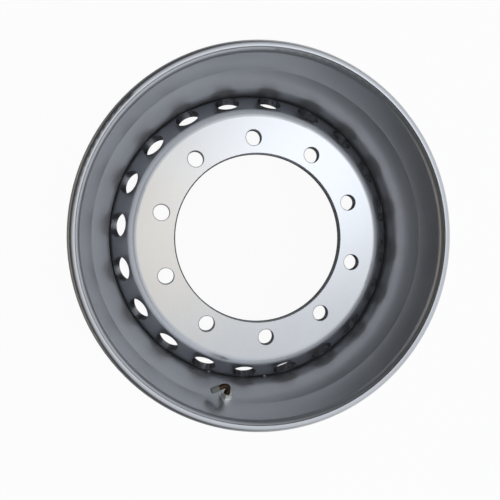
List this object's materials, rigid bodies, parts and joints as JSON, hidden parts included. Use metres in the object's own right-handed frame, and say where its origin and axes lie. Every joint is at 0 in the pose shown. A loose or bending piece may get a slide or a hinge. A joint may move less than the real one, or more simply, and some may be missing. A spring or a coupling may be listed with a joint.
{
  "type": "steel truck wheel",
  "caption": "Silver-painted steel truck wheel: drop-centre rim with a dished disc welded inside, wide centre bore, ring of bolt holes, round hand holes and a bent tyre valve.",
  "frame": {"origin": "centre of the bolt circle on the disc's back face, where the wheel meets the hub", "axes": "+Z along the axle, out of the wheel's front; the wheel lies on its rear flange; +X and +Y are right and up in the picture"},
  "size_m": [0.5968, 0.5968, 0.325],
  "materials": {
    "wheel_paint": "satin silver metallic paint",
    "valve_brass": "turned brass, darkened with age",
    "valve_plating": "bright zinc plating",
    "valve_rubber": "moulded black rubber",
    "valve_cap": "grey-green moulded plastic"
  },
  "bodies": {
    "root": {"rim": "wheel_paint", "disc": "wheel_paint", "disc_weld": "wheel_paint", "tack_welds": "wheel_paint", "valve_stem": "valve_brass", "valve_core": "valve_brass", "valve_nut": "valve_plating", "valve_washer": "valve_plating", "valve_grommet": "valve_rubber", "valve_cap_seal": "valve_rubber", "valve_cap": "valve_cap"}
  },
  "joints": []
}
